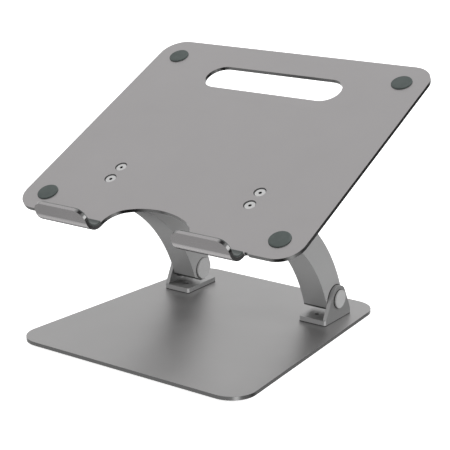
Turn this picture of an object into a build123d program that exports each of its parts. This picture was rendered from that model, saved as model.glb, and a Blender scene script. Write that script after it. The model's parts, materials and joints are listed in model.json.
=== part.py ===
from build123d import *
from math import acos, atan2, cos, degrees, hypot, radians, sin
import os

# Foldable laptop stand. Millimetres. X to the right, Y to the back, Z up, desk at Z = 0.

# Sheet plates
plate_t = 3.0

# Base plate, narrower at the back
base_front_w = 215.0
base_rear_w = 180.5
base_depth = 225.5
base_corner_r = 20.0
foot_pad_r = 8.0
foot_pad_t = 1.8
foot_pad_inset = 18.0

# Tray plate, a tilted rectangle
tray_w = 260.0
tray_depth = 233.0
tray_corner_r = 19.5
tray_tilt = 26.0
tray_front_z = 102.3
tray_front_to_base_front = 28.2

# Hand slot near the tray's back edge
slot_len = 129.0
slot_w = 29.0
slot_v = 190.0

# Front hooks, bent from the tray sheet
hook_gap = 79.0
hook_w = 50.4
hook_flat = 0.9
hook_bend_r = 9.5
hook_lip_h = 20.3
hook_corner_r = 9.5
hook_relief_w = 4.0
hook_relief_d = 1.2

# Cutout between the hooks: a wide middle arc that runs into a tighter one at each hook
cutout_depth = 24.2
cutout_mid_r = 66.7

# Rubber liner inside each hook
liner_t = 0.9
liner_on_sheet = 0.5
liner_side_inset = 0.6
liner_top_inset = 0.5

# Rubber pads on the tray
pad_r = 9.0
pad_t = 2.2
pad_bevel = 1.2
pad_x = 108.5
pad_front_v = 19.7
pad_rear_v = 210.8

# Countersunk socket screws, the same size at the tray and at the base
screw_r = 2.0
screw_head_r = 4.2
socket_af = 2.5
socket_depth = 1.3
screw_x = 65.6
tray_screw_pitch = 14.8
base_screw_pitch = 17.0
screw_end_recess = 0.8
thread_gap = 0.02

# L brackets
bracket_outer_x = 80.4
bracket_w = 25.2
bracket_foot_d = 40.4
bracket_foot_t = 4.3
upright_t = 3.2
upright_top_r = 10.8
upright_foot_half = 18.8
bracket_corner = 1.5
pin_height = 17.9

# Hinge pins, one at each end of each arm
pin_r = 4.0
pin_head_r = 9.0
pin_cap_r = 7.4
pin_head_t = 1.4
cap_gap = 0.6
running_gap = 0.05
seat_gap = 0.02
side_gap = 0.4

# Curved arms
lower_pin_from_base_front = 177.6
arm_w = 22.0
arm_concave_r = 134.1
arm_lower_to_concave = 12.6
arm_heel_run = 2.4
arm_lower_end_r = 10.8
arm_upper_end_r = 10.0
arm_convex_r = 150.0

SIDES = (("left", -1), ("right", 1))

# The frame's origin is the middle of the overall box, so the base is set back from it
tilt_c = cos(radians(tray_tilt))
tilt_s = sin(radians(tray_tilt))
tray_rear = tray_front_to_base_front + tray_depth * tilt_c + plate_t * tilt_s
base_front_y = -max(tray_rear, base_depth) / 2
base_rear_y = base_front_y + base_depth
plate_top_z = foot_pad_t + plate_t
hook_x = (hook_gap + hook_w) / 2

# The countersink takes the sheet's whole thickness, so the head lies a little below the face
screw_sink = plate_t - (screw_head_r - screw_r)

along = Vector(0, tilt_c, tilt_s)
out = Vector(0, -tilt_s, tilt_c)
tray_front = Vector(0, base_front_y + tray_front_to_base_front, tray_front_z)


def tray_point(x, v, h=0.0):
    """Point at x across, v back along the slope and h above the tray's top face."""
    return tray_front + Vector(x, 0, 0) + along * v + out * h


tray_top = Plane(origin=tray_point(0, 0), x_dir=(1, 0, 0), z_dir=out)
tray_under = Plane(origin=tray_point(0, 0, -plate_t), x_dir=(1, 0, 0), z_dir=-out)

# Hinge centres in the side view, as (y, z)
tray_hinge_v = 55.4
lower_pin = (base_front_y + lower_pin_from_base_front, plate_top_z + pin_height)
upper_point = tray_point(0, tray_hinge_v, -plate_t - pin_height)
upper_pin = (upper_point.Y, upper_point.Z)


def ring_point(centre, radius, angle):
    """Point on a circle in the side view, angle in degrees from +Y towards +Z."""
    return (centre[0] + radius * cos(radians(angle)), centre[1] + radius * sin(radians(angle)))


def bearing(start, end):
    """Angle in degrees from one side-view point to another."""
    return degrees(atan2(end[1] - start[1], end[0] - start[0]))


def circle_meeting(a, ra, b, rb, away):
    """Point at distance ra from a and rb from b, on the side of the line that away gives."""
    d = hypot(b[0] - a[0], b[1] - a[1])
    turn = degrees(acos((ra * ra + d * d - rb * rb) / (2 * ra * d)))
    return ring_point(a, ra, bearing(a, b) + away * turn)


def both_sides(name, make):
    """Right-hand part from make, its mirror image on the left, both exported."""
    right = make()
    for side, sign in SIDES:
        piece = right if sign > 0 else right.mirror(Plane.YZ)
        piece.label = f"{side}_{name}"
        export_step(piece, f"parts/{side}_{name}.step")


os.makedirs("parts", exist_ok=True)

# Base plate: trapezoid with rounded corners, countersunk from below for the bracket screws
with BuildPart() as base_plate:
    with BuildSketch(Plane.XY.offset(foot_pad_t)) as outline:
        with BuildLine():
            Polyline(
                (-base_front_w / 2, base_front_y),
                (base_front_w / 2, base_front_y),
                (base_rear_w / 2, base_rear_y),
                (-base_rear_w / 2, base_rear_y),
                close=True,
            )
        make_face()
        fillet(outline.vertices(), radius=base_corner_r)
    extrude(amount=plate_t)
    under = Plane(origin=(0, lower_pin[0], foot_pad_t), x_dir=(1, 0, 0), z_dir=(0, 0, -1))
    with Locations(under):
        with GridLocations(2 * screw_x, base_screw_pitch, 2, 2):
            CounterSinkHole(
                radius=screw_r,
                counter_sink_radius=screw_head_r + screw_sink,
                depth=plate_t,
                counter_sink_angle=90,
            )
base_plate.part.label = "base_plate"
export_step(base_plate.part, "parts/base_plate.step")

# Four rubber feet under the base plate's corners
slope = (base_front_w - base_rear_w) / 2 / base_depth
with BuildPart() as base_feet:
    for back in (False, True):
        run = base_depth - foot_pad_inset if back else foot_pad_inset
        reach = base_front_w / 2 - slope * run - foot_pad_inset
        with Locations((0, base_front_y + run, 0)):
            with GridLocations(2 * reach, 0, 2, 1):
                Cylinder(foot_pad_r, foot_pad_t, align=(Align.CENTER, Align.CENTER, Align.MIN))
base_feet.part.label = "base_feet"
export_step(base_feet.part, "parts/base_feet.step")


def hook_solid():
    """Right hook: flat root, bend and lip, with large rounded corners on the lip."""
    x0 = hook_x - hook_w / 2
    side = Plane(origin=tray_point(x0, 0), x_dir=along, z_dir=(1, 0, 0))
    outer_r = hook_bend_r + plate_t
    front = -hook_flat - outer_r
    inner = -hook_flat - hook_bend_r
    with BuildPart() as hook:
        with BuildSketch(side):
            with BuildLine():
                Polyline((-hook_flat, 0), (hook_flat, 0), (hook_flat, -plate_t), (-hook_flat, -plate_t))
                RadiusArc((-hook_flat, -plate_t), (front, hook_bend_r), outer_r)
                Polyline((front, hook_bend_r), (front, hook_lip_h), (inner, hook_lip_h), (inner, hook_bend_r))
                RadiusArc((inner, hook_bend_r), (-hook_flat, 0), -hook_bend_r)
            make_face()
        extrude(amount=hook_w)
        lip_top = hook.edges().filter_by(Axis((0, 0, 0), along)).sort_by(Axis((0, 0, 0), out))[-2:]
        fillet(lip_top, radius=hook_corner_r)
    return hook.part


def liner_solid():
    """Right hook's liner: a thin strip that follows the bend and the lip."""
    width = hook_w - 2 * liner_side_inset
    side = Plane(origin=tray_point(hook_x - width / 2, 0), x_dir=along, z_dir=(1, 0, 0))
    outer_r = hook_bend_r - seat_gap
    inner_r = hook_bend_r - liner_t
    back = -hook_flat - outer_r
    face = -hook_flat - inner_r
    low = hook_bend_r - outer_r
    with BuildPart() as liner:
        with BuildSketch(side):
            with BuildLine():
                Polyline(
                    (-hook_flat, low),
                    (liner_on_sheet, low),
                    (liner_on_sheet, liner_t),
                    (-hook_flat, liner_t),
                )
                RadiusArc((-hook_flat, liner_t), (face, hook_bend_r), inner_r)
                Polyline(
                    (face, hook_bend_r),
                    (face, hook_lip_h - liner_top_inset),
                    (back, hook_lip_h - liner_top_inset),
                    (back, hook_bend_r),
                )
                RadiusArc((back, hook_bend_r), (-hook_flat, low), -outer_r)
            make_face()
        extrude(amount=width)
        lip_top = liner.edges().filter_by(Axis((0, 0, 0), along)).sort_by(Axis((0, 0, 0), out))[-2:]
        fillet(lip_top, radius=hook_corner_r - liner_side_inset)
    return liner.part


# The cutout's side arcs leave the hooks straight back and touch the wide arc inside
wide_centre_v = cutout_depth - cutout_mid_r
cutout_side_r = cutout_mid_r**2 - (hook_gap / 2) ** 2 - wide_centre_v**2
cutout_side_r /= 2 * (cutout_mid_r - hook_gap / 2)
cutout_turn = degrees(atan2(hook_gap / 2 - cutout_side_r, -wide_centre_v))

# A shallow relief arc beside each hook, its centre in front of the sheet's edge
relief_r = (hook_relief_w**2 / 4 + hook_relief_d**2) / (2 * hook_relief_d)
relief_x = hook_x + (hook_w + hook_relief_w) / 2
relief_v = hook_relief_d - relief_r

# Tray: one sheet with the hand slot, the front cutout, the screw holes and both hooks
right_hook = hook_solid()
with BuildPart() as tray:
    with BuildSketch(tray_top) as sheet:
        with Locations((0, tray_depth / 2)):
            Rectangle(tray_w, tray_depth)
        fillet(sheet.vertices(), radius=tray_corner_r)
        with Locations((hook_x, 0), (-hook_x, 0)):
            Rectangle(hook_w, 2 * hook_flat)
        with Locations((relief_x, relief_v), (-relief_x, relief_v)):
            Circle(relief_r, mode=Mode.SUBTRACT)
        with BuildLine() as notch:
            wide = JernArc((0, cutout_depth), (1, 0), cutout_mid_r, -cutout_turn)
            tight = JernArc(wide @ 1, wide % 1, cutout_side_r, cutout_turn - 90)
            Polyline(tight @ 1, (hook_gap / 2, -cutout_depth), (0, -cutout_depth))
            mirror(about=Plane.YZ)
        make_face(mode=Mode.SUBTRACT)
        with Locations((0, slot_v)):
            SlotOverall(slot_len, slot_w, mode=Mode.SUBTRACT)
    extrude(amount=-plate_t)
    with Locations(tray_top):
        with Locations((0, tray_hinge_v)):
            with GridLocations(2 * screw_x, tray_screw_pitch, 2, 2):
                CounterSinkHole(
                    radius=screw_r,
                    counter_sink_radius=screw_head_r + screw_sink,
                    depth=plate_t,
                    counter_sink_angle=90,
                )
    add(right_hook)
    add(right_hook.mirror(Plane.YZ))
tray.part.label = "tray"
export_step(tray.part, "parts/tray.step")

both_sides("hook_liner", liner_solid)

# Four bevelled rubber pads on the tray
with BuildPart() as tray_pads:
    with BuildSketch(tray_top):
        with Locations((0, (pad_front_v + pad_rear_v) / 2)):
            with GridLocations(2 * pad_x, pad_rear_v - pad_front_v, 2, 2):
                Circle(pad_r)
    extrude(amount=pad_t)
    crowns = tray_pads.faces().filter_by(tray_top).sort_by(Axis((0, 0, 0), out))[-4:]
    chamfer(crowns.edges(), length=pad_bevel)
tray_pads.part.label = "tray_pads"
export_step(tray_pads.part, "parts/tray_pads.step")


def screw_solid(face):
    """Countersunk socket screw sunk into face, its axis against the face's normal."""
    reach = plate_t + bracket_foot_t - screw_end_recess
    cone = screw_head_r - screw_r
    with BuildPart() as screw:
        with BuildSketch(Plane.XZ):
            with BuildLine():
                Polyline(
                    (0, -screw_sink),
                    (screw_head_r, -screw_sink),
                    (screw_r, -screw_sink - cone),
                    (screw_r, -reach),
                    (0, -reach),
                    close=True,
                )
            make_face()
        revolve(axis=Axis.Z)
        with BuildSketch(Plane.XY.offset(-screw_sink)):
            RegularPolygon(socket_af / 2, 6, major_radius=False)
        extrude(amount=-socket_depth, mode=Mode.SUBTRACT)
    return screw.part.moved(face.location)


# Bracket screws, four through the base plate and four through the tray
for label, face, pitch in (
    ("base_bracket_screws", under, base_screw_pitch),
    ("tray_screws", tray_top.shift_origin(tray_point(0, tray_hinge_v)), tray_screw_pitch),
):
    one = screw_solid(face)
    across = face.x_dir * screw_x
    down = face.y_dir * pitch / 2
    with BuildPart() as screws:
        for sx in (-1, 1):
            for sy in (-1, 1):
                add(one.moved(Location(across * sx + down * sy)))
    screws.part.label = label
    export_step(screws.part, f"parts/{label}.step")


def bracket_solid(seat, pitch):
    """Right L bracket on seat, whose normal points from the plate to the pin."""
    inner_x = bracket_outer_x - bracket_w
    wall_x = bracket_outer_x - upright_t
    drop = pin_height - bracket_foot_t
    reach = hypot(upright_foot_half, drop)
    touch = degrees(acos(upright_top_r / reach)) - degrees(atan2(drop, upright_foot_half))
    shoulder = ring_point((0, pin_height), upright_top_r, touch)
    wall = Plane(origin=seat.origin + seat.x_dir * wall_x, x_dir=seat.y_dir, z_dir=seat.x_dir)
    with BuildPart() as bracket:
        with BuildSketch(seat) as sole:
            with Locations((inner_x + bracket_w / 2, 0)):
                Rectangle(bracket_w, bracket_foot_d)
            chamfer(sole.vertices(), length=bracket_corner)
            with Locations((screw_x, pitch / 2), (screw_x, -pitch / 2)):
                Circle(screw_r + thread_gap, mode=Mode.SUBTRACT)
        extrude(amount=bracket_foot_t)
        with BuildSketch(wall):
            with BuildLine():
                Polyline(
                    (-shoulder[0], shoulder[1]),
                    (-upright_foot_half, bracket_foot_t),
                    (-upright_foot_half, 0),
                    (upright_foot_half, 0),
                    (upright_foot_half, bracket_foot_t),
                    shoulder,
                )
                ThreePointArc(shoulder, (0, pin_height + upright_top_r), (-shoulder[0], shoulder[1]))
            make_face()
            with Locations((0, pin_height)):
                Circle(pin_r + running_gap, mode=Mode.SUBTRACT)
        extrude(amount=upright_t)
    return bracket.part


base_seat = Plane(origin=(0, lower_pin[0], plate_top_z), x_dir=(1, 0, 0), z_dir=(0, 0, 1))
tray_seat = tray_under.shift_origin(tray_point(0, tray_hinge_v, -plate_t))
both_sides("base_bracket", lambda: bracket_solid(base_seat, base_screw_pitch))
both_sides("tray_bracket", lambda: bracket_solid(tray_seat, tray_screw_pitch))

# Stack along a pin, from the bracket's wall inwards and outwards
wall_x = bracket_outer_x - upright_t
arm_outer_x = wall_x - side_gap
arm_inner_x = arm_outer_x - arm_w
head_x = arm_inner_x - side_gap - pin_head_t
cap_x = bracket_outer_x + cap_gap


def disc(x, radius, thickness, centre):
    """Disc on a pin's axis, growing outwards from x."""
    with BuildPart() as piece:
        with BuildSketch(Plane.YZ.offset(x)):
            with Locations(centre):
                Circle(radius)
        extrude(amount=thickness)
    return piece.part


def pin_solid(centre):
    """Headed pin: the head lies inside the arm, the shank ends at the cap."""
    with BuildPart() as pin:
        add(disc(head_x, pin_head_r, pin_head_t, centre))
        add(disc(head_x, pin_r, cap_x - head_x, centre))
    return pin.part


# Pins and their caps, the left ones mirrored from the right
for level, centre in (("lower", lower_pin), ("upper", upper_pin)):
    for name, right in (
        ("pins", pin_solid(centre)),
        ("pin_caps", disc(cap_x, pin_cap_r, pin_head_t, centre)),
    ):
        with BuildPart() as pair:
            add(right)
            add(right.mirror(Plane.YZ))
        pair.part.label = f"{level}_{name}"
        export_step(pair.part, f"parts/{level}_{name}.step")


def arm_solid():
    """Right arm: a curved bar between two round ends, with a cut corner at the foot."""
    lower_reach = arm_concave_r + arm_lower_to_concave
    upper_reach = arm_concave_r + arm_upper_end_r
    centre = circle_meeting(lower_pin, lower_reach, upper_pin, upper_reach, 1)
    corner_angle = bearing(centre, lower_pin) - degrees(arm_heel_run / arm_concave_r)
    corner = ring_point(centre, arm_concave_r, corner_angle)
    gap = hypot(corner[0] - lower_pin[0], corner[1] - lower_pin[1])
    heel = bearing(lower_pin, corner) + degrees(acos(arm_lower_end_r / gap))
    inside_end = bearing(centre, upper_pin)
    inside = ring_point(centre, arm_concave_r, inside_end)
    inside_mid = ring_point(centre, arm_concave_r, (corner_angle + inside_end) / 2)
    low_r = arm_convex_r - arm_lower_end_r
    high_r = arm_convex_r - arm_upper_end_r
    hub = circle_meeting(lower_pin, low_r, upper_pin, high_r, 1)
    back_low = bearing(hub, lower_pin)
    back_high = bearing(hub, upper_pin)
    low = ring_point(hub, arm_convex_r, back_low)
    high = ring_point(hub, arm_convex_r, back_high)
    back_mid = ring_point(hub, arm_convex_r, (back_low + back_high) / 2)
    heel_point = ring_point(lower_pin, arm_lower_end_r, heel)
    heel_mid = ring_point(lower_pin, arm_lower_end_r, (heel + back_low) / 2)
    nose = ring_point(upper_pin, arm_upper_end_r, (inside_end + 180 + back_high) / 2)
    with BuildPart() as arm:
        with BuildSketch(Plane.YZ.offset(arm_inner_x)) as profile:
            with BuildLine():
                ThreePointArc(corner, inside_mid, inside)
                ThreePointArc(inside, nose, high)
                ThreePointArc(high, back_mid, low)
                ThreePointArc(low, heel_mid, heel_point)
                Line(heel_point, corner)
            make_face()
        extrude(amount=arm_w)
        with BuildSketch(Plane.YZ.offset(arm_inner_x)):
            with Locations(lower_pin, upper_pin):
                Circle(pin_r + running_gap)
        extrude(amount=arm_w, mode=Mode.SUBTRACT)
    return arm.part


both_sides("arm", arm_solid)
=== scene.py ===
import json
import math

import bmesh
import bpy
from mathutils import Matrix, Vector


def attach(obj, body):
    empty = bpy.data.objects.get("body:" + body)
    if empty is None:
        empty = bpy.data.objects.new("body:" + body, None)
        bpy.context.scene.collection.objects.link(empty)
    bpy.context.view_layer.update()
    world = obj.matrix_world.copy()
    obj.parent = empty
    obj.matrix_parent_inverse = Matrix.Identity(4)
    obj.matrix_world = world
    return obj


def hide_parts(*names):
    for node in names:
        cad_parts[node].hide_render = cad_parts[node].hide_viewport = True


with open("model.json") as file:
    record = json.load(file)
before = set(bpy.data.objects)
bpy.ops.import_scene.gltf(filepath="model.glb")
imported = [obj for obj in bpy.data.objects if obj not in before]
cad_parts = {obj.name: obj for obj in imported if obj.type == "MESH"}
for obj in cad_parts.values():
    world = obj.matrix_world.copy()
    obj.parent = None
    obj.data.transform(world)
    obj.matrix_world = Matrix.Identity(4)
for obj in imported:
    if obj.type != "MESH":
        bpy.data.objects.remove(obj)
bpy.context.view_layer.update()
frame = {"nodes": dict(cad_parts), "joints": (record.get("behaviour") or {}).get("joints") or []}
nodes = frame["nodes"]
scene = bpy.context.scene

# Directions. The tray slopes up to the back: its slope and its face's normal, in the side view
TRAY_TILT = math.radians(26.0)
ACROSS = Vector((1.0, 0.0, 0.0))
BACK = Vector((0.0, 1.0, 0.0))
UP = Vector((0.0, 0.0, 1.0))
SLOPE = Vector((0.0, math.cos(TRAY_TILT), math.sin(TRAY_TILT)))
FACE = Vector((0.0, -math.sin(TRAY_TILT), math.cos(TRAY_TILT)))
EITHER_WAY = (-1, 1)

# Places and sizes in metres, on the resting stand. The tray's front edge, on its face
TRAY_FRONT = Vector((0.0, -0.091267, 0.1023))
FRONT_RUN = TRAY_FRONT.dot(SLOPE)
FACE_HEIGHT = TRAY_FRONT.dot(FACE)

# Plates, brackets and arms
SHEET = 0.003
BASE_UNDERSIDE = 0.0018
BASE_TOP = BASE_UNDERSIDE + SHEET
BRACKET_OUTER = 0.0804
BRACKET_UPRIGHT = 0.0032
BRACKET_FOOT = 0.0043
ARM_WIDTH = 0.022
ARM_GAP = 0.0004
CAP_GAP = 0.0006

# Hinges and screws
hinges = {joint["name"]: Vector(joint["pos_m"]) for joint in frame["joints"]}
LOWER_HINGE = hinges["left_arm_hinge"]
UPPER_HINGE = hinges["tray_tilt"]
SCREW_OFF_MIDDLE = 0.0656
SCREW_SINK = 0.0008
BASE_SCREW_PITCH = 0.0170
TRAY_SCREW_PITCH = 0.0148


def place_camera():
    """Camera at the photograph's viewing angle, its focal length known in pixels of the photograph."""
    turn, lift = math.radians(35.27), math.radians(16.70)
    place = Vector((0.59041, -0.82108, 0.38811))
    focal_pixels, photo_width = 1339.0, 450.0
    back = Vector((math.sin(turn) * math.cos(lift), -math.cos(turn) * math.cos(lift), math.sin(lift)))
    right = Vector((math.cos(turn), math.sin(turn), 0))
    data = bpy.data.cameras.new("camera")
    data.sensor_width = 36.0
    data.sensor_fit = "HORIZONTAL"
    data.lens = data.sensor_width * focal_pixels / photo_width
    data.clip_end = 50.0
    camera = bpy.data.objects.new("camera", data)
    camera.matrix_world = Matrix((right, back.cross(right), back)).transposed().to_4x4()
    camera.matrix_world.translation = place
    scene.collection.objects.link(camera)
    scene.camera = camera


# Short ways to make nodes
def new_material(name):
    """Empty material, its shader wired to the output."""
    material = bpy.data.materials.new(name)
    material.use_nodes = True
    tree = material.node_tree
    tree.nodes.clear()
    output = tree.nodes.new("ShaderNodeOutputMaterial")
    shader = tree.nodes.new("ShaderNodeBsdfPrincipled")
    tree.links.new(shader.outputs["BSDF"], output.inputs["Surface"])
    return material, tree, shader


def feed(tree, socket, value):
    """Link an output to the socket, or set the socket to a plain value."""
    if isinstance(value, bpy.types.NodeSocket):
        tree.links.new(value, socket)
    else:
        socket.default_value = value


def calc(tree, operation, a, b=0.0):
    """Sum, product, comparison or the like of two values, in a material or in Geometry Nodes."""
    node = tree.nodes.new("ShaderNodeMath")
    node.operation = operation
    feed(tree, node.inputs[0], a)
    feed(tree, node.inputs[1], b)
    return node.outputs["Value"]


def along_axis(tree, vector, axis):
    """How far the vector reaches along the axis."""
    node = tree.nodes.new("ShaderNodeVectorMath")
    node.operation = "DOT_PRODUCT"
    tree.links.new(vector, node.inputs[0])
    node.inputs[1].default_value = axis
    return node.outputs["Value"]


def spread(tree, source, low, high, start=0.35, end=0.65):
    """Smooth change from low to high while the source goes from start to end."""
    node = tree.nodes.new("ShaderNodeMapRange")
    node.interpolation_type = "SMOOTHSTEP"
    node.inputs["From Min"].default_value = start
    node.inputs["From Max"].default_value = end
    node.inputs["To Min"].default_value = low
    node.inputs["To Max"].default_value = high
    tree.links.new(source, node.inputs["Value"])
    return node.outputs["Result"]


def noise(tree, scale, detail=2.0, stretch=(1, 1, 1)):
    """Soft random pattern fixed to the piece, its scale in cells a metre."""
    coords = tree.nodes.new("ShaderNodeTexCoord")
    mapping = tree.nodes.new("ShaderNodeMapping")
    mapping.inputs["Scale"].default_value = stretch
    tree.links.new(coords.outputs["Object"], mapping.inputs["Vector"])
    texture = tree.nodes.new("ShaderNodeTexNoise")
    texture.inputs["Scale"].default_value = scale
    texture.inputs["Detail"].default_value = detail
    tree.links.new(mapping.outputs["Vector"], texture.inputs["Vector"])
    return texture.outputs["Fac"]


def shade(tree, source, dark, light):
    """Colour between dark and light, as the source says."""
    ramp = tree.nodes.new("ShaderNodeValToRGB")
    for stop, position, colour in zip(ramp.color_ramp.elements, (0.3, 0.7), (dark, light)):
        stop.position = position
        stop.color = (*colour, 1)
    tree.links.new(source, ramp.inputs["Fac"])
    return ramp.outputs["Color"]


def mix_colour(tree, share, first, second):
    """First colour where the share is 0, second where it is 1."""
    node = tree.nodes.new("ShaderNodeMix")
    node.data_type = "RGBA"
    tree.links.new(share, node.inputs["Factor"])
    tree.links.new(first, node.inputs["A"])
    node.inputs["B"].default_value = (*second, 1)
    return node.outputs["Result"]


def bump(tree, shader, source, strength, distance, round_over=0.0):
    """Fine relief on the shading, over edges broken by a small radius."""
    node = tree.nodes.new("ShaderNodeBump")
    if round_over:
        edge = tree.nodes.new("ShaderNodeBevel")
        edge.samples = 4
        edge.inputs["Radius"].default_value = round_over
        tree.links.new(edge.outputs["Normal"], node.inputs["Normal"])
    node.inputs["Strength"].default_value = strength
    node.inputs["Distance"].default_value = distance
    tree.links.new(source, node.inputs["Height"])
    tree.links.new(node.outputs["Normal"], shader.inputs["Normal"])


def facing(tree, axis):
    """How squarely a face looks along the axis, either way: 0 to 1."""
    coords = tree.nodes.new("ShaderNodeTexCoord")
    return calc(tree, "ABSOLUTE", along_axis(tree, coords.outputs["Normal"], axis))


def reach(tree, axis):
    """How far a point of the resting stand lies along the axis, in metres."""
    coords = tree.nodes.new("ShaderNodeTexCoord")
    return along_axis(tree, coords.outputs["Object"], axis)


# Where a piece's finish changes, or where painted shade goes: 1 there, 0 elsewhere
MARGIN = 0.0001


def base_edge_painted_shade(tree):
    """Painted shade on the base plate's cut edges."""
    return spread(tree, facing(tree, UP), 1.0, 0.0, 0.6, 0.9)


def tray_edge_painted_shade(tree):
    """Painted shade on the tray sheet's cut edges, without its faces, the bends and the lips."""
    sideways = spread(tree, facing(tree, ACROSS), 0.0, 1.0, 0.1, 0.35)
    under_face = calc(tree, "LESS_THAN", reach(tree, FACE), FACE_HEIGHT - MARGIN)
    rim = calc(tree, "MULTIPLY", spread(tree, facing(tree, SLOPE), 0.0, 1.0, 0.8, 0.9), under_face)
    return calc(tree, "MAXIMUM", sideways, rim)


def tray_countersink_painted_shade(tree):
    """Painted shade on the sloping walls of the tray's countersunk holes, which lie well behind the
    bends.
    """
    clear_of_bends = 0.03
    behind_bends = calc(tree, "GREATER_THAN", reach(tree, SLOPE), FRONT_RUN + clear_of_bends)
    tilt = facing(tree, FACE)
    above_walls = spread(tree, tilt, 0.0, 1.0, 0.4, 0.6)
    below_faces = spread(tree, tilt, 1.0, 0.0, 0.8, 0.9)
    return calc(tree, "MULTIPLY", behind_bends, calc(tree, "MULTIPLY", above_walls, below_faces))


def tray_hooks(tree):
    """The hooks' bends and lips, in front of the tray's front edge."""
    into_bends = 0.0005
    return calc(tree, "LESS_THAN", reach(tree, SLOPE), FRONT_RUN - into_bends)


def arm_end_painted_shadow(tree):
    """Painted shadow in the gap over the bracket's foot, on the lower edge of each arm's hollow face and
    sides, beside the flat cut at its end.
    """
    inward = Vector((0.0, 0.4392, 0.8984))
    corner = Vector((0.0, 0.047138, 0.016054))
    full_dark, faded = 0.0005, 0.0012
    cut = corner.dot(inward)
    near_cut = spread(tree, reach(tree, inward), 1.0, 0.0, cut + full_dark, cut + faded)
    return calc(tree, "MULTIPLY", near_cut, spread(tree, facing(tree, inward), 1.0, 0.0, 0.85, 0.97))


def bracket_painted_contact_shadow(tree):
    """Painted shadow: a thin dark line where a bracket's foot meets its plate, in place of its contact
    shadow.
    """
    shadow_line = 0.0005
    at_base = calc(tree, "LESS_THAN", reach(tree, UP), BASE_TOP + shadow_line)
    at_tray = calc(tree, "GREATER_THAN", reach(tree, FACE), FACE_HEIGHT - SHEET - shadow_line)
    return calc(tree, "MAXIMUM", at_base, at_tray)


def base_screw_painted_shade(tree):
    """Painted shade, near black, on all above the face of the base screws' heads: the sockets, the shanks
    and the threads' ends.
    """
    return calc(tree, "GREATER_THAN", reach(tree, UP), BASE_UNDERSIDE + SCREW_SINK + MARGIN)


def tray_screw_painted_shade(tree):
    """Painted shade, near black, on all below the face of the tray screws' heads: the sockets, the shanks
    and the threads' ends.
    """
    return calc(tree, "LESS_THAN", reach(tree, FACE), FACE_HEIGHT - SCREW_SINK - MARGIN)


def pad_wall_painted_shade(tree):
    """Painted shade on the tray pads' walls, without their crowns."""
    return spread(tree, facing(tree, FACE), 1.0, 0.0, 0.2, 0.5)


# Kinds of finish
def anodised(
    name, grey, rough, metallic, round_over=0.0003, grain=0.10,
    edges=None, painted_shade_grey=0.0, painted_shade_rough=0.0, painted_shade_hollows=None, smooth=None,
):
    """Bead-blasted and anodised aluminium: fine grain, and faint clouds in the gloss.

    The edges mask says where painted shade darkens the colour (cut edges, the lines where bracket feet
    meet their plates, the arms' lower ends); the mask for recesses says where painted shade darkens
    recesses; smooth says where the gloss is smoother.
    """
    material, tree, shader = new_material(name)
    uneven, smoother, painted_shade_hollow_grey = 0.02, 0.14, 0.07
    clouds = noise(tree, 22.0, 3.0)
    colour = shade(tree, clouds, [c * 0.975 for c in grey], [c * 1.02 for c in grey])
    gloss = spread(tree, clouds, rough - uneven, rough + uneven)
    if edges:
        # Painted shade: darker colour where the edges mask says
        edge = edges(tree)
        colour = mix_colour(tree, edge, colour, (painted_shade_grey, painted_shade_grey, painted_shade_grey))
        gloss = calc(tree, "SUBTRACT", gloss, calc(tree, "MULTIPLY", edge, rough - painted_shade_rough))
    if smooth:
        gloss = calc(tree, "SUBTRACT", gloss, calc(tree, "MULTIPLY", smooth(tree), smoother))
    # Painted shade: near-black colour in the recesses that the hollows mask gives
    if painted_shade_hollows:
        colour = mix_colour(tree, painted_shade_hollows(tree), colour, (painted_shade_hollow_grey, painted_shade_hollow_grey, painted_shade_hollow_grey))
    tree.links.new(colour, shader.inputs["Base Color"])
    tree.links.new(gloss, shader.inputs["Roughness"])
    shader.inputs["Metallic"].default_value = metallic
    bump(tree, shader, noise(tree, 2600.0), grain, 0.00005, round_over)
    return material


def turned_steel(name, grey, rough, metallic, painted_shade_ends=None):
    """Plated steel with faint marks left by the lathe, and near-black painted shade where the ends mask
    says.
    """
    material, tree, shader = new_material(name)
    marks = noise(tree, 900.0, 3.0, (0.2, 1, 1))
    colour = shade(tree, marks, [c * 0.93 for c in grey], grey)
    if painted_shade_ends:
        # Painted shade in the screws' sockets
        colour = mix_colour(tree, painted_shade_ends(tree), colour, (0.03, 0.03, 0.03))
    tree.links.new(colour, shader.inputs["Base Color"])
    tree.links.new(spread(tree, marks, rough, rough + 0.08), shader.inputs["Roughness"])
    shader.inputs["Metallic"].default_value = metallic
    bump(tree, shader, marks, 0.08, 0.00004, 0.0002)
    return material


def rubber(name, dark, light, rough=0.62, shine=0.35, painted_shade_walls=None):
    """Moulded rubber with a fine matt grain, and painted shade on the walls that the walls mask gives."""
    material, tree, shader = new_material(name)
    colour = shade(tree, noise(tree, 140.0, 3.0), dark, light)
    if painted_shade_walls:
        # Painted shade: darker colour on the walls
        colour = mix_colour(tree, painted_shade_walls(tree), colour, [c * 0.45 for c in dark])
    tree.links.new(colour, shader.inputs["Base Color"])
    shader.inputs["Roughness"].default_value = rough
    shader.inputs["Specular IOR Level"].default_value = shine
    bump(tree, shader, noise(tree, 1800.0), 0.2, 0.0001)
    return material


# The stand's own finishes
def tray_finish():
    return anodised(
        "anodised_sheet",
        grey=(0.385, 0.373, 0.376),
        rough=0.34,
        metallic=0.92,
        # Painted shade on the cut edges and on the countersinks' walls
        edges=tray_edge_painted_shade,
        painted_shade_grey=0.22,
        painted_shade_rough=0.20,
        painted_shade_hollows=tray_countersink_painted_shade,
        smooth=tray_hooks,
    )


def base_plate_finish():
    return anodised(
        "anodised_base",
        grey=(0.375, 0.37, 0.37),
        rough=0.41,
        metallic=0.92,
        grain=0.04,
        # Painted shade on the cut edges
        edges=base_edge_painted_shade,
        painted_shade_grey=0.26,
        painted_shade_rough=0.22,
    )


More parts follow.
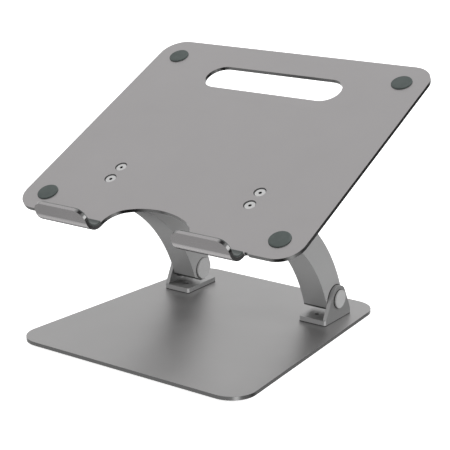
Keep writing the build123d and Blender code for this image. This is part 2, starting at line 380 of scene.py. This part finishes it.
def arm_finish():
    return anodised(
        "anodised_bar",
        grey=(0.34, 0.34, 0.34),
        rough=0.40,
        metallic=0.12,
        # Painted shadow under each arm's lower end
        edges=arm_end_painted_shadow,
        painted_shade_grey=0.02,
        painted_shade_rough=0.40,
    )


def bracket_finish():
    return anodised(
        "anodised_bracket",
        grey=(0.37, 0.37, 0.37),
        rough=0.38,
        metallic=0.65,
        # Painted contact shadow where each foot meets its plate
        edges=bracket_painted_contact_shadow,
        painted_shade_grey=0.03,
        painted_shade_rough=0.30,
    )


def thread_finish():
    return anodised("tapped_thread", grey=(0.30, 0.30, 0.30), rough=0.3, metallic=0.6, round_over=0.0)


def pin_finish():
    return turned_steel("satin_pin_steel", grey=(0.62, 0.62, 0.62), rough=0.30, metallic=0.40)


def screw_finish(name, painted_shade_ends):
    return turned_steel(name, grey=(0.62, 0.62, 0.62), rough=0.26, metallic=0.95, painted_shade_ends=painted_shade_ends)


def pad_finish():
    return rubber("pad_rubber", (0.072, 0.088, 0.084), (0.086, 0.104, 0.100), painted_shade_walls=pad_wall_painted_shade)


def liner_finish():
    return rubber("liner_rubber", (0.045, 0.056, 0.053), (0.055, 0.067, 0.064), rough=0.34, shine=0.6)


def foot_finish():
    return rubber("foot_rubber", (0.045, 0.048, 0.047), (0.06, 0.064, 0.062))


def washer_and_gap_shade_finish():
    # Black plastic, which also stands in for the shadow in the thin gaps at the pins
    return rubber("black_nylon_and_gap_shade", (0.012, 0.012, 0.012), (0.018, 0.018, 0.018), rough=0.5)


def dress_nodes(pad_rubber):
    """Each CAD node gets its finish."""
    finish = {
        "base_plate": base_plate_finish(),
        "tray": tray_finish(),
        "base_feet": foot_finish(),
        "tray_pads": pad_rubber,
        "base_bracket_screws": screw_finish("base_screw_nickel", base_screw_painted_shade),
        "tray_screws": screw_finish("tray_screw_nickel", tray_screw_painted_shade),
    }
    arm, liner, bracket, pin = arm_finish(), liner_finish(), bracket_finish(), pin_finish()
    for side in ("left", "right"):
        finish[f"{side}_arm"] = arm
        finish[f"{side}_hook_liner"] = liner
        finish[f"{side}_base_bracket"] = bracket
        finish[f"{side}_tray_bracket"] = bracket
    for level in ("lower", "upper"):
        finish[f"{level}_pins"] = pin
        finish[f"{level}_pin_caps"] = pin
    for name, node in nodes.items():
        for slot in node.material_slots:
            slot.material = finish[name]
    # No piece mirrors the two plates
    for name in ("base_plate", "tray"):
        nodes[name].visible_glossy = False


def mould_pads(pad_rubber):
    """The four tray pads: low round pads with a rolled rim, in place of the plain bevelled solids."""
    radius, height = 0.0085, 0.0012
    rim_width, rim_drop, rim_steps = 0.0013, 0.0009, 6
    off_middle, runs = 0.1085, (0.0197, 0.2108)
    profile = [(0.0, height)]
    for step in range(rim_steps + 1):
        turn = math.radians(90.0 * step / rim_steps)
        out = radius - rim_width + rim_width * math.sin(turn)
        profile.append((out, height - rim_drop + rim_drop * math.cos(turn)))
    profile += [(radius, 0.0), (0.0, 0.0)]
    shape = bmesh.new()
    for side in EITHER_WAY:
        for run in runs:
            centre = TRAY_FRONT + ACROSS * (side * off_middle) + SLOPE * run
            line = [shape.verts.new(centre + ACROSS * out + FACE * up) for out, up in profile]
            edges = [shape.edges.new(pair) for pair in zip(line, line[1:])]
            bmesh.ops.spin(shape, geom=line + edges, cent=centre, axis=FACE, angle=math.tau, steps=64)
    bmesh.ops.remove_doubles(shape, verts=shape.verts, dist=1e-6)
    bmesh.ops.recalc_face_normals(shape, faces=shape.faces)
    mesh = bpy.data.meshes.new("moulded_pads")
    shape.to_mesh(mesh)
    shape.free()
    for face in mesh.polygons:
        face.use_smooth = True
    mesh.set_sharp_from_angle(angle=math.radians(40.0))
    mesh.materials.append(pad_rubber)
    pads = bpy.data.objects.new("moulded_pads", mesh)
    scene.collection.objects.link(pads)
    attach(pads, "tray")
    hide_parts("tray_pads")


# Small fittings, set by Geometry Nodes at each of their places
def fitting_tree(name, sizes):
    """Tree with a place for each fitting coming in, and named inputs for its sizes, turn and material."""
    tree = bpy.data.node_groups.new(name, "GeometryNodeTree")
    tree.interface.new_socket("Geometry", in_out="OUTPUT", socket_type="NodeSocketGeometry")
    tree.interface.new_socket("Geometry", in_out="INPUT", socket_type="NodeSocketGeometry")
    for size in sizes:
        tree.interface.new_socket(size, in_out="INPUT", socket_type="NodeSocketFloat")
    tree.interface.new_socket("Turn", in_out="INPUT", socket_type="NodeSocketRotation")
    tree.interface.new_socket("Material", in_out="INPUT", socket_type="NodeSocketMaterial")
    given = tree.nodes.new("NodeGroupInput")
    result = tree.nodes.new("NodeGroupOutput")
    place = tree.nodes.new("GeometryNodeInstanceOnPoints")
    join = tree.nodes.new("GeometryNodeRealizeInstances")
    coat = tree.nodes.new("GeometryNodeSetMaterial")
    sweep = tree.nodes.new("GeometryNodeCurveToMesh")
    sweep.inputs["Fill Caps"].default_value = True
    tree.links.new(given.outputs["Geometry"], place.inputs["Points"])
    tree.links.new(sweep.outputs["Mesh"], place.inputs["Instance"])
    tree.links.new(given.outputs["Turn"], place.inputs["Rotation"])
    tree.links.new(place.outputs["Instances"], join.inputs["Geometry"])
    tree.links.new(join.outputs["Geometry"], coat.inputs["Geometry"])
    tree.links.new(given.outputs["Material"], coat.inputs["Material"])
    tree.links.new(coat.outputs["Geometry"], result.inputs["Geometry"])
    return tree, given, sweep


def washer_tree():
    """Flat ring: a rectangle swept round a circle midway between its two radii."""
    tree, given, sweep = fitting_tree("washer", ("Inner radius", "Outer radius", "Thickness"))
    circle = tree.nodes.new("GeometryNodeCurvePrimitiveCircle")
    circle.inputs["Resolution"].default_value = 64
    section = tree.nodes.new("GeometryNodeCurvePrimitiveQuadrilateral")
    inner, outer = given.outputs["Inner radius"], given.outputs["Outer radius"]
    middle = calc(tree, "MULTIPLY", calc(tree, "ADD", inner, outer), 0.5)
    tree.links.new(middle, circle.inputs["Radius"])
    tree.links.new(calc(tree, "SUBTRACT", outer, inner), section.inputs["Width"])
    tree.links.new(given.outputs["Thickness"], section.inputs["Height"])
    tree.links.new(circle.outputs["Curve"], sweep.inputs["Curve"])
    tree.links.new(section.outputs["Curve"], sweep.inputs["Profile Curve"])
    return tree


def thread_tree():
    """Thread crest just inside the mouth of a tapped hole: a thin round section swept along a helix."""
    tree, given, sweep = fitting_tree("thread", ("Radius", "Crest", "Length"))
    helix = tree.nodes.new("GeometryNodeCurveSpiral")
    helix.inputs["Resolution"].default_value = 32
    helix.inputs["Rotations"].default_value = 1.5
    section = tree.nodes.new("GeometryNodeCurvePrimitiveCircle")
    section.inputs["Resolution"].default_value = 6
    for end in ("Start Radius", "End Radius"):
        tree.links.new(given.outputs["Radius"], helix.inputs[end])
    tree.links.new(given.outputs["Length"], helix.inputs["Height"])
    tree.links.new(given.outputs["Crest"], section.inputs["Radius"])
    tree.links.new(helix.outputs["Curve"], sweep.inputs["Curve"])
    tree.links.new(section.outputs["Curve"], sweep.inputs["Profile Curve"])
    return tree


def set_fittings(name, tree, places, inputs, body):
    """One mesh of fittings at the places, made by the tree, that rides on the body."""
    mesh = bpy.data.meshes.new(name)
    mesh.from_pydata(places, [], [])
    piece = bpy.data.objects.new(name, mesh)
    scene.collection.objects.link(piece)
    modifier = piece.modifiers.new(name, "NODES")
    modifier.node_group = tree
    sockets = {s.name: s.identifier for s in tree.interface.items_tree if s.in_out == "INPUT"}
    for key, value in inputs.items():
        modifier[sockets[key]] = value
    evaluated = piece.evaluated_get(bpy.context.evaluated_depsgraph_get())
    made = bpy.data.meshes.new_from_object(evaluated)
    piece.modifiers.clear()
    piece.data = made
    made.name = name
    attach(piece, body)


def fit_washers():
    """Thin black washers on the pins: beside the arm, under the pin's head and under its cap. Their black
    also stands in for the shadow in the thin gaps there.
    """
    nylon_and_gap_shade = washer_and_gap_shade_finish()
    tree = washer_tree()
    hole_radius, play = 0.0041, 0.0001
    beside_arm = BRACKET_OUTER - BRACKET_UPRIGHT - ARM_GAP / 2
    under_head = beside_arm - ARM_WIDTH - ARM_GAP
    under_cap = BRACKET_OUTER + CAP_GAP / 2
    # Each washer's distance from the stand's middle, its outer radius and the gap that it lies in
    stack = (
        ("arm", beside_arm, 0.0114, ARM_GAP),
        ("head", under_head, 0.0093, ARM_GAP),
        ("cap", under_cap, 0.0077, CAP_GAP),
    )
    for level, hinge, body in (("lower", LOWER_HINGE, "base"), ("upper", UPPER_HINGE, "upper_pin_set")):
        for spot, off_middle, outer_radius, gap in stack:
            inputs = {
                "Inner radius": hole_radius,
                "Outer radius": outer_radius,
                "Thickness": gap - play,
                "Turn": (0.0, math.radians(90.0), 0.0),
                "Material": nylon_and_gap_shade,
            }
            places = [(side * off_middle, hinge.y, hinge.z) for side in EITHER_WAY]
            set_fittings(f"{level}_{spot}_washers", tree, places, inputs, body)


def screw_places(middle, along, pitch):
    """A pair of screws on either side of the middle, its two screws one pitch apart along a plate."""
    places = []
    for side in EITHER_WAY:
        for end in EITHER_WAY:
            places.append(middle + ACROSS * (side * SCREW_OFF_MIDDLE) + along * (end * pitch / 2))
    return places


def fit_threads():
    """Threads that show in the mouths of the brackets' tapped holes."""
    metal = thread_finish()
    tree = thread_tree()
    below_mouth = 0.0007
    base_middle = Vector((0.0, LOWER_HINGE.y, BASE_TOP + BRACKET_FOOT - below_mouth))
    hinge_run = (UPPER_HINGE - TRAY_FRONT).dot(SLOPE)
    tray_middle = TRAY_FRONT + SLOPE * hinge_run - FACE * (SHEET + BRACKET_FOOT - below_mouth)
    base_places = screw_places(base_middle, BACK, BASE_SCREW_PITCH)
    tray_places = screw_places(tray_middle, SLOPE, TRAY_SCREW_PITCH)
    for body, places, turn in (("base", base_places, 0.0), ("tray", tray_places, math.pi + TRAY_TILT)):
        inputs = {
            "Radius": 0.00198,
            "Crest": 0.00014,
            "Length": 0.00055,
            "Turn": (turn, 0.0, 0.0),
            "Material": metal,
        }
        set_fittings(f"{body}_bracket_threads", tree, places, inputs, body)


# Studio. Patches of the surround: direction, half angle in degrees, light added
SURROUND_PATCHES = (
    ((0.30, 0.15, 0.94), 26.0, -0.9),  # dark arcs on the lips' corners
    ((0.815, 0.503, 0.287), 22.0, 2.2),  # bright arcs beside them
    ((-0.553, 0.06, -0.83), 17.0, 0.5),  # light band along the hooks' bends
    ((-0.553, 0.64, -0.54), 17.0, -1.15),  # thin dark line below that band
    ((0.12, -0.50, -0.86), 30.0, -0.75),  # dark front rim of the tray
    ((0.68, -0.07, -0.73), 14.0, 0.5),  # light on the tray's front right corner
    ((0.40, 0.90, -0.12), 16.0, -0.6),  # dark far end of the tray's right edge
    ((0.95, 0.25, 0.0), 60.0, -0.55),  # less light on the faces that look to the right
    ((0.55, 0.78, -0.29), 36.0, -0.45),  # a darker surround for those faces to mirror
    ((0.78, -0.55, -0.29), 18.0, 1.6),  # light front right corners of the brackets' feet
    ((-0.74, 0.59, -0.31), 24.0, 0.3),  # light front left corners of the brackets' feet
    ((-0.60, 0.66, 0.45), 20.0, 0.12),  # lighter front of the base plate
    ((-0.72, 0.65, 0.22), 20.0, -0.14),  # darker left of the base plate
)


def sky_patch(tree, direction, centre, half_angle, amount):
    """A soft round patch of light, or of shade where the amount is negative, in the surround."""
    near = along_axis(tree, direction, Vector(centre).normalized())
    return spread(tree, near, 0.0, amount, math.cos(math.radians(half_angle)), 1.0)


def build_surround():
    """Soft light from all round, a little stronger from above and from the right and the back.

    The patches are added to it. The camera itself sees plain white.
    """
    world = bpy.data.worlds.new("studio")
    scene.world = world
    world.use_nodes = True
    tree = world.node_tree
    surround = tree.nodes["Background"]
    output = tree.nodes["World Output"]
    coords = tree.nodes.new("ShaderNodeTexCoord")
    direction = coords.outputs["Generated"]
    right_and_back = (0.58, 0.81, 0.0)
    glow_below, gain_below = 0.66, 0.20
    glow_above, gain_above = 0.92, 0.08
    across = along_axis(tree, direction, right_and_back)
    below = calc(tree, "ADD", calc(tree, "MULTIPLY", across, gain_below), glow_below)
    above = calc(tree, "ADD", calc(tree, "MULTIPLY", across, gain_above), glow_above)
    height = spread(tree, along_axis(tree, direction, UP), 0.0, 1.0, -0.06, 0.10)
    depth = calc(tree, "SUBTRACT", 1.0, height)
    glow = calc(tree, "ADD", calc(tree, "MULTIPLY", height, above), calc(tree, "MULTIPLY", depth, below))
    for centre, half_angle, amount in SURROUND_PATCHES:
        glow = calc(tree, "ADD", glow, sky_patch(tree, direction, centre, half_angle, amount))
    tree.links.new(calc(tree, "MAXIMUM", glow, 0.0), surround.inputs["Strength"])
    surround.inputs["Color"].default_value = (1, 1, 1, 1)
    backdrop = tree.nodes.new("ShaderNodeBackground")
    backdrop.inputs["Color"].default_value = (1, 1, 1, 1)
    backdrop.inputs["Strength"].default_value = 1.05
    path = tree.nodes.new("ShaderNodeLightPath")
    pick = tree.nodes.new("ShaderNodeMixShader")
    tree.links.new(path.outputs["Is Camera Ray"], pick.inputs["Fac"])
    tree.links.new(surround.outputs["Background"], pick.inputs[1])
    tree.links.new(backdrop.outputs["Background"], pick.inputs[2])
    tree.links.new(pick.outputs["Shader"], output.inputs["Surface"])


def build_floor():
    """Plain pale floor, which no piece mirrors and which casts no light on them."""
    half = 8.0
    corners = [(-half, -half, 0), (half, -half, 0), (half, half, 0), (-half, half, 0)]
    mesh = bpy.data.meshes.new("floor")
    mesh.from_pydata(corners, [], [(0, 1, 2, 3)])
    floor = bpy.data.objects.new("floor", mesh)
    scene.collection.objects.link(floor)
    material, _, shader = new_material("pale_floor")
    shader.inputs["Base Color"].default_value = (0.9, 0.9, 0.9, 1)
    shader.inputs["Roughness"].default_value = 0.9
    shader.inputs["Emission Color"].default_value = (1, 1, 1, 1)
    shader.inputs["Emission Strength"].default_value = 0.75
    mesh.materials.append(material)
    floor.visible_glossy = False
    floor.visible_diffuse = False


def add_side_light():
    """Soft square light from the right and the back, which no piece mirrors."""
    spot, target = Vector((1.95, 0.7, 1.35)), Vector((0.0, 0.0, 0.05))
    data = bpy.data.lights.new("side_light", "AREA")
    data.shape = "SQUARE"
    data.size = 0.9
    data.energy = 29.0
    light = bpy.data.objects.new("side_light", data)
    turn = (target - spot).to_track_quat("-Z", "Y").to_matrix().to_4x4()
    light.matrix_world = Matrix.Translation(spot) @ turn
    light.visible_glossy = False
    scene.collection.objects.link(light)


place_camera()
build_surround()
build_floor()
add_side_light()
pads_rubber = pad_finish()
mould_pads(pads_rubber)
dress_nodes(pads_rubber)
fit_washers()
fit_threads()
scene.view_settings.view_transform = "Standard"
